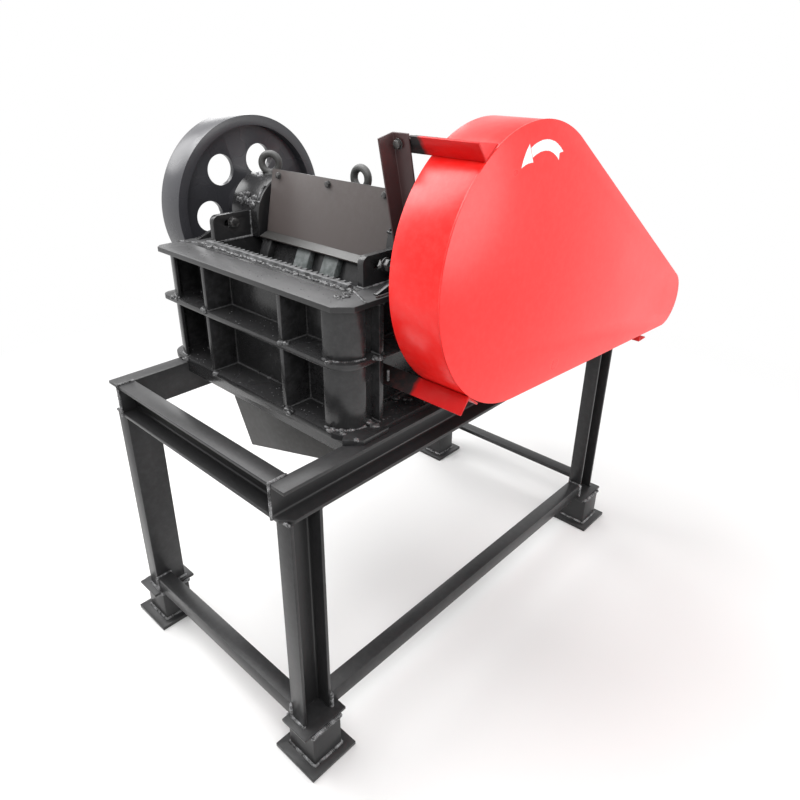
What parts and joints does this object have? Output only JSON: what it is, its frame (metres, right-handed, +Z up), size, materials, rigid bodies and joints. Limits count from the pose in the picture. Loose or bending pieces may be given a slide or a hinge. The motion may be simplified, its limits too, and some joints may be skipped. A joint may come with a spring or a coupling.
{
  "type": "jaw crusher",
  "caption": "Small jaw crusher welded from plate, on a channel steel stand, with eccentric shaft, spoked-hole flywheel, swing jaw, belt guard and motor.",
  "frame": {"origin": "centre of the bounding box's bottom, on the floor", "axes": "+X from the feed end to the motor, +Y from the belt guard to the flywheel, +Z up"},
  "size_m": [1.351, 0.965, 1.3409],
  "materials": {
    "body_paint": "gloss",
    "cover_paint": "semi-gloss",
    "guard_paint": "gloss",
    "bracket_paint": "gloss",
    "jaw_steel": "as cast",
    "clamp_steel": "matt",
    "shaft_steel": "turned",
    "wheel_iron": "gloss paint",
    "eye_steel": "as cast",
    "belt_rubber": "matt",
    "motor_paint": "semi-gloss"
  },
  "bodies": {
    "frame": {"foot_front_near": "body_paint", "foot_front_far": "body_paint", "foot_rear_near": "body_paint", "foot_rear_far": "body_paint", "leg_front_near": "body_paint", "leg_front_far": "body_paint", "leg_rear_near": "body_paint", "leg_rear_far": "body_paint", "beam_near": "body_paint", "beam_far": "body_paint", "beam_front": "body_paint", "beam_rear": "body_paint", "tie_rail_front": "body_paint", "tie_rail_near": "body_paint", "tie_rail_rear": "body_paint", "motor_rail": "body_paint", "side_plate_near": "body_paint", "side_plate_far": "body_paint", "front_wall": "body_paint", "rear_wall": "body_paint", "base_stiffener": "body_paint", "middle_stiffener": "body_paint", "top_stiffener": "body_paint", "front_ribs": "body_paint", "rear_ribs": "body_paint", "corner_columns": "body_paint", "side_flanges": "body_paint", "housing_gussets": "body_paint", "bearing_housing_near": "body_paint", "bearing_housing_far": "body_paint", "fixed_jaw_plate": "jaw_steel", "cheek_liners": "jaw_steel", "toggle_seat": "body_paint", "discharge_chute": "body_paint", "lifting_eyes": "eye_steel", "belt_guard": "guard_paint", "guard_post": "body_paint", "guard_arm": "bracket_paint", "guard_bracket": "bracket_paint", "rear_bracket": "body_paint", "motor": "motor_paint", "motor_pulley": "wheel_iron", "drive_belts": "belt_rubber"},
    "rotor": {"eccentric_shaft": "shaft_steel", "flywheel": "wheel_iron", "driven_wheel": "wheel_iron"},
    "jaw": {"swing_jaw": "body_paint", "swing_jaw_plate": "jaw_steel", "jaw_clamp_blocks": "clamp_steel", "cover_plate": "cover_paint", "lifting_eye_jaw": "eye_steel", "toggle_plate": "shaft_steel", "tension_rod": "shaft_steel"}
  },
  "joints": [
    {"name": "rotor_spin", "type": "hinge", "parent": "frame", "child": "rotor", "pos_m": [-0.1475, 0.0315, 1.069], "axis": [0, -1, 0], "continuous": true},
    {"name": "jaw_orbit", "type": "hinge", "parent": "rotor", "child": "jaw", "pos_m": [-0.1475, 0.0315, 1.061], "axis": [0, -1, 0], "continuous": true}
  ],
  "couplings": [
    {"joint": "jaw_orbit", "follows": "rotor_spin", "ratio": -1}
  ]
}
